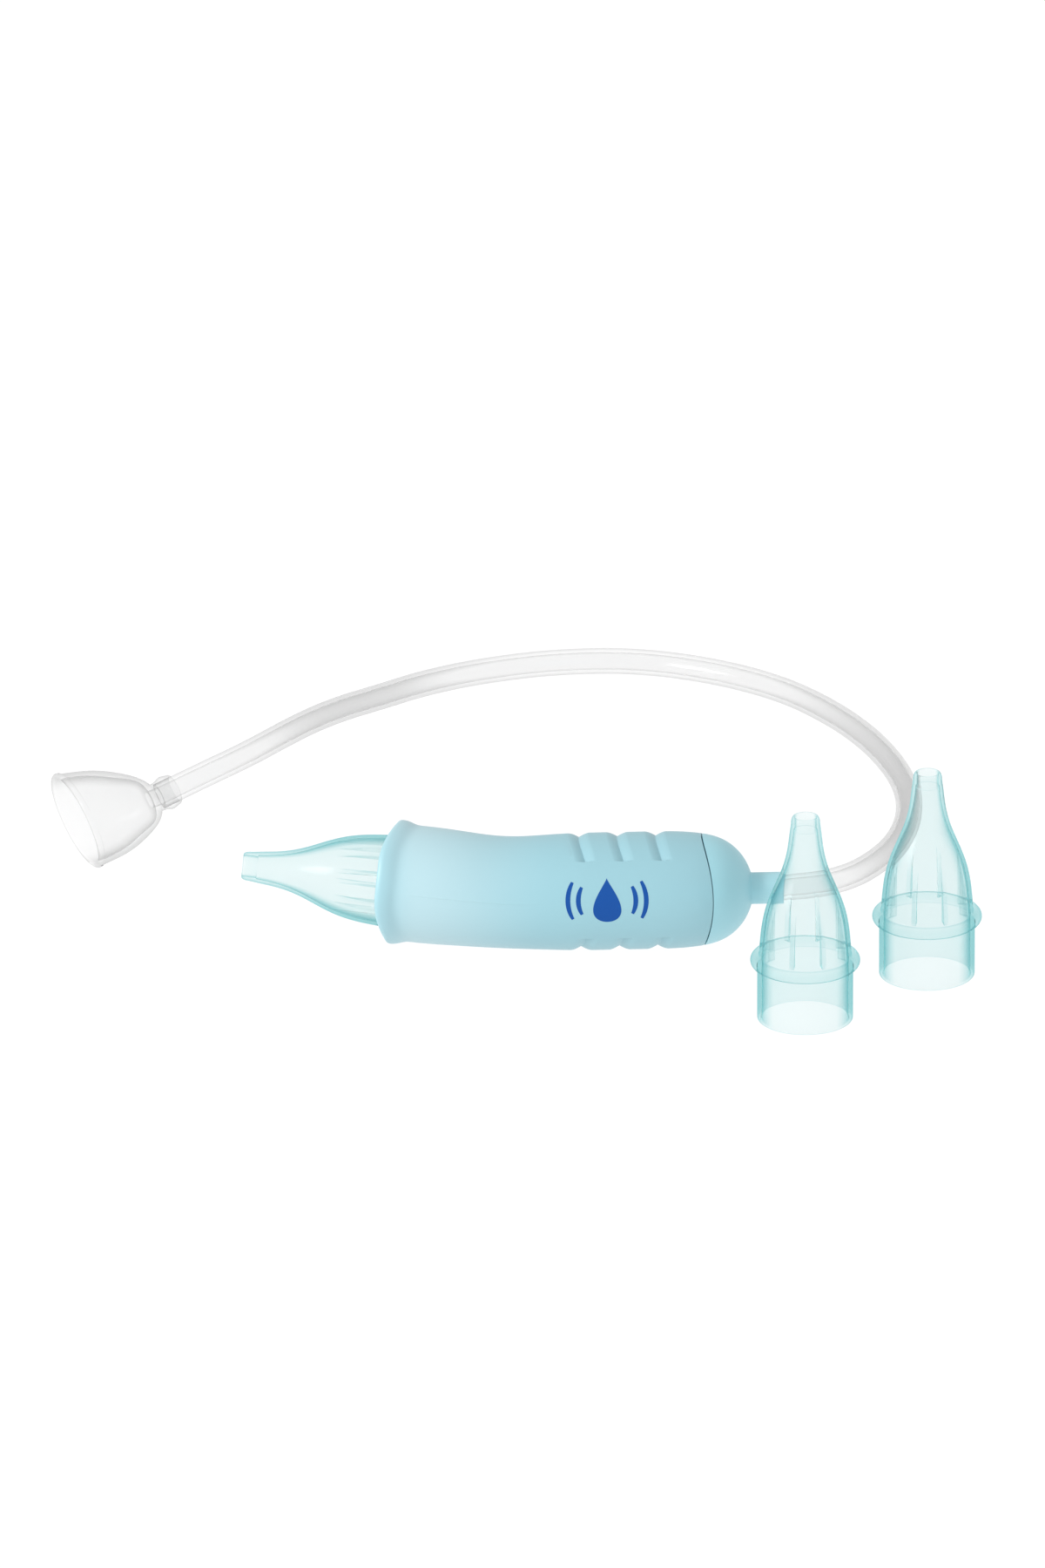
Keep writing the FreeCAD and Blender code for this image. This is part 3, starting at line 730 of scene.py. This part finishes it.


# %% [markdown]
# ### Moulded ABS for the handle
# ABS from a spark-eroded mould has a fine even grain: the highlights are broad and soft. The grip's
# colour is painted light along its length: painted shade at the lip's flare, a pale painted highlight
# just behind it, and a deeper colour over the next few centimetres as the light falls off. The colour
# concentrate leaves the faintest cloud.

# %% ABS, moulded with a satin grain


def satin_abs(name, tone_and_light_stops, cloud, span_mm, grain_mm):
    """ABS (IOR 1.53): a colour along it, painted light and shade on the grip, clouds, a satin roughness
    and a fine grain.
    """
    material, output = new_material(name)
    at = add(material, "ShaderNodeTexCoord", {}).outputs["Object"]
    along = add(material, "ShaderNodeSeparateXYZ", {"Vector": at}).outputs["X"]
    span = {"From Min": span_mm[0] * MM, "From Max": span_mm[1] * MM}
    share = add(material, "ShaderNodeMapRange", {"Value": along, **span})
    # On the grip this ramp is painted light and shade; on the cap it is the plastic's own colour.
    tone_and_painted_light = add(material, "ShaderNodeValToRGB", {"Fac": share.outputs["Result"]})
    tone_and_painted_light.color_ramp.interpolation = "EASE"
    while len(tone_and_painted_light.color_ramp.elements) < len(tone_and_light_stops):
        tone_and_painted_light.color_ramp.elements.new(0.5)
    for element, (spot, colour) in zip(tone_and_painted_light.color_ramp.elements, tone_and_light_stops):
        element.position, element.color = spot, linear(colour)
    clouds = add(material, "ShaderNodeTexNoise", {"Vector": at, "Scale": per_metre(26), "Detail": 3.0})
    faint = add(material, "ShaderNodeMapRange", {"Value": clouds.outputs["Fac"], "To Max": 0.12})
    rough, normal = grained(material, at, grain_mm, 2.0, (0.38, 0.50), 0.35, 0.03)
    shader = add(material, "ShaderNodeBsdfPrincipled", {
        "Base Color": mixed(material, faint.outputs["Result"], tone_and_painted_light.outputs["Color"], cloud),
        "Roughness": rough, "Normal": normal, "IOR": 1.53,
    })
    link(material, shader.outputs["BSDF"], output, "Surface")
    return material


# The grip's colours are painted light: darker at the lip's flare where it lies in shade, a pale painted
# highlight about ten millimetres behind the rim where the left panel lights it, then darker towards the
# middle. The cap keeps one colour, lighter on its spigot.
grip_painted_light_tones = [(0, "#9ec6cf"), (0.22, "#b2d0d7"), (1, "#95c0ca")]
cap_tones = [(0, "#a1d2dc"), (0.9, "#a1d2dc"), (1, "#acdae3")]
grip_abs = satin_abs("pale_blue_abs_satin_moulded", grip_painted_light_tones, "#8dbac7", (-54, -12), 0.5)
cap_abs = satin_abs("pale_blue_abs_satin_cap", cap_tones, "#99cdd8", (12, 36), 0.5)
wear(grip_abs, grip)
wear(cap_abs, cap)

# %% [markdown]
# ### Clear elastomer for tips, hose and mouthpiece
# The tips are a soft clear elastomer with a drop of aqua dye. The dye is in the body, so the colour
# belongs in the volume: where the eye looks along the wall the path is long and the edge turns
# aqua, and where it looks through the wall it stays nearly white. Where the skin is seen edge on the
# surface colour turns to an edge colour too: on the tips partly the dye and partly painted shade, on
# hose and mouthpiece a grey painted shade. Hose and mouthpiece have no dye, only the faint milk of
# silicone.

# %% Elastomer, polished mould


def clear_elastomer(name, wave_mm, rough, absorb, density, milk, edge, clear, gloss):
    """A clear soft moulding: dye in its volume, a little milk, and slow waves left by the mould.

    A soft wall under a millimetre thick hardly bends the view through it, so the body's own index is
    near 1, and the skin, a coat of index 1.41, gives the reflections. Where the skin is seen edge on,
    the base colour turns to the edge colour: partly the longer path through the wall, partly painted
    shade that stands in for the dark outline of a wall that bends the light."""
    material, output = new_material(name)
    at = add(material, "ShaderNodeTexCoord", {}).outputs["Object"]
    haze, normal = grained(material, at, wave_mm, 1.0, (rough, rough * 1.7), 0.5, 0.02)
    # Painted shade: towards the outlines the base colour turns to the edge colour, which on the tips is partly
    # the dye's aqua.
    facing = add(material, "ShaderNodeLayerWeight", {"Blend": 0.5}).outputs["Facing"]
    edge_tint_and_shade_share = add(material, "ShaderNodeMapRange", {"Value": facing, "From Min": 0.35}).outputs["Result"]
    shader = add(material, "ShaderNodeBsdfPrincipled", {
        "Base Color": mixed(material, edge_tint_and_shade_share, milk, edge),
        "Roughness": haze, "Normal": normal, "IOR": 1.01, "Transmission Weight": clear,
        "Coat Weight": gloss, "Coat IOR": 1.41, "Coat Roughness": 0.15,
    })
    dye = add(material, "ShaderNodeVolumeAbsorption", {"Color": absorb, "Density": density})
    link(material, shader.outputs["BSDF"], output, "Surface")
    link(material, dye.outputs["Volume"], output, "Volume")
    return material


aqua, grey = (0.2, 0.72, 0.735, 1.0), (0.5, 0.5, 0.5, 1.0)
# The edge colours #62c6cc, #d0d0d0 and #c6c6c6 are painted shade at the outlines; the tips' aqua is partly the
# dye's own colour.
tip_tpe = clear_elastomer("aqua_tpe_polished", 7.0, 0.03, aqua, 95.0, "#f8fbfb", "#62c6cc", 0.97, 0.2)
wear(tip_tpe, nozzle, *spares)
hose_silicone = clear_elastomer(
    "clear_silicone_extruded", 12.0, 0.06, grey, 8.0, "#f9f9f9", "#d0d0d0", 0.98, 0.4
)
wear(hose_silicone, hose)
cup_silicone = clear_elastomer(
    "clear_silicone_moulded", 12.0, 0.06, grey, 8.0, "#f7f7f7", "#c6c6c6", 0.95, 0.2
)
wear(cup_silicone, mouthpiece)

# %% [markdown]
# ### Small parts inside
# The filter foam, the plastic grid that holds it and the sealing ring stay as the solid model has
# them. Foam is a mass of cells, so a Voronoi pattern of 0.7 mm cells dents it. The grid is glossy
# polypropylene and the ring is soft white silicone.

# %% Foam, grid and ring
foam_pu, output = new_material("white_polyurethane_foam")
at = add(foam_pu, "ShaderNodeTexCoord", {}).outputs["Object"]
cells = add(foam_pu, "ShaderNodeTexVoronoi", {"Vector": at, "Scale": per_metre(0.7)})
dents = {"Height": cells.outputs["Distance"], "Strength": 0.8, "Distance": 0.3 * MM}
cell_bump = add(foam_pu, "ShaderNodeBump", dents)
shader = add(foam_pu, "ShaderNodeBsdfPrincipled", {
    "Base Color": linear("#f4f6f5"), "Roughness": 0.9, "Normal": cell_bump.outputs["Normal"],
})
link(foam_pu, shader.outputs["BSDF"], output, "Surface")
wear(foam_pu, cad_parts["filter_foam"])


def plain_moulding(name, colour, rough, grain_mm, pieces, **more):
    """A small plain moulding with a slow unevenness in its gloss and surface."""
    material, output = new_material(name)
    at = add(material, "ShaderNodeTexCoord", {}).outputs["Object"]
    gloss, normal = grained(material, at, grain_mm, 2.0, (rough, rough * 1.4), 0.3, 0.03)
    look = {"Base Color": linear(colour), "Roughness": gloss, "Normal": normal, **more}
    shader = add(material, "ShaderNodeBsdfPrincipled", look)
    link(material, shader.outputs["BSDF"], output, "Surface")
    wear(material, *pieces)


plain_moulding("white_polypropylene_grid", "#eef3f3", 0.25, 1.5, [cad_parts["filter_grid"]], IOR=1.49)
plain_moulding("white_silicone_ring", "#e9eeee", 0.4, 0.8, [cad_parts["cap_seal"]], IOR=1.41)
plain_moulding("blue_pad_print_ink", "#0b4b98", 0.5, 0.6, marks, IOR=1.3)

# %% [markdown]
# ## Table and light
# A white table that glows a little and an even white room, as for a catalogue. A panel close to
# the left makes the near end of the handle brightest, and a wide cool panel stands low in front.

# %% Table
half_table = 3.0
table_corners = [(x * half_table, y * half_table, 0) for x, y in ((-1, -1), (1, -1), (1, 1), (-1, 1))]
table_mesh = bpy.data.meshes.new("table")
table_mesh.from_pydata(table_corners, [], [(0, 1, 2, 3)])
table = bpy.data.objects.new("table", table_mesh)
bpy.context.scene.collection.objects.link(table)
table_paint, output = new_material("white_table")
shader = add(table_paint, "ShaderNodeBsdfPrincipled", {
    "Base Color": linear("#3c3c3c"), "Roughness": 0.9,
    "Emission Color": (1, 1, 1, 1), "Emission Strength": 0.97,
})
link(table_paint, shader.outputs["BSDF"], output, "Surface")
wear(table_paint, table)

# %% Light
world = bpy.data.worlds.new("studio")
bpy.context.scene.world = world
world.use_nodes = True
room = world.node_tree.nodes["Background"].inputs
room["Color"].default_value = (1, 1, 1, 1)
room["Strength"].default_value = 0.8


def panel(name, spot, size, power, colour=(1, 1, 1)):
    """A square light panel that looks at the object's middle."""
    light = bpy.data.lights.new(name, "AREA")
    light.size, light.energy, light.color = size, power, colour
    lamp = bpy.data.objects.new(name, light)
    lamp.location = spot
    away = np.array(spot) - aim
    tip_over = math.acos(away[2] / np.linalg.norm(away))
    lamp.rotation_euler = (tip_over, 0, math.atan2(away[1], away[0]) + math.pi / 2)
    bpy.context.scene.collection.objects.link(lamp)


panel("key_panel", (-0.42, -0.2, 0.26), 0.2, 1.8)
panel("cool_fill_panel", (0.3, -0.6, 0.06), 0.4, 0.5, (0.3, 0.8, 1.0))
bpy.context.scene.view_settings.view_transform = "Standard"
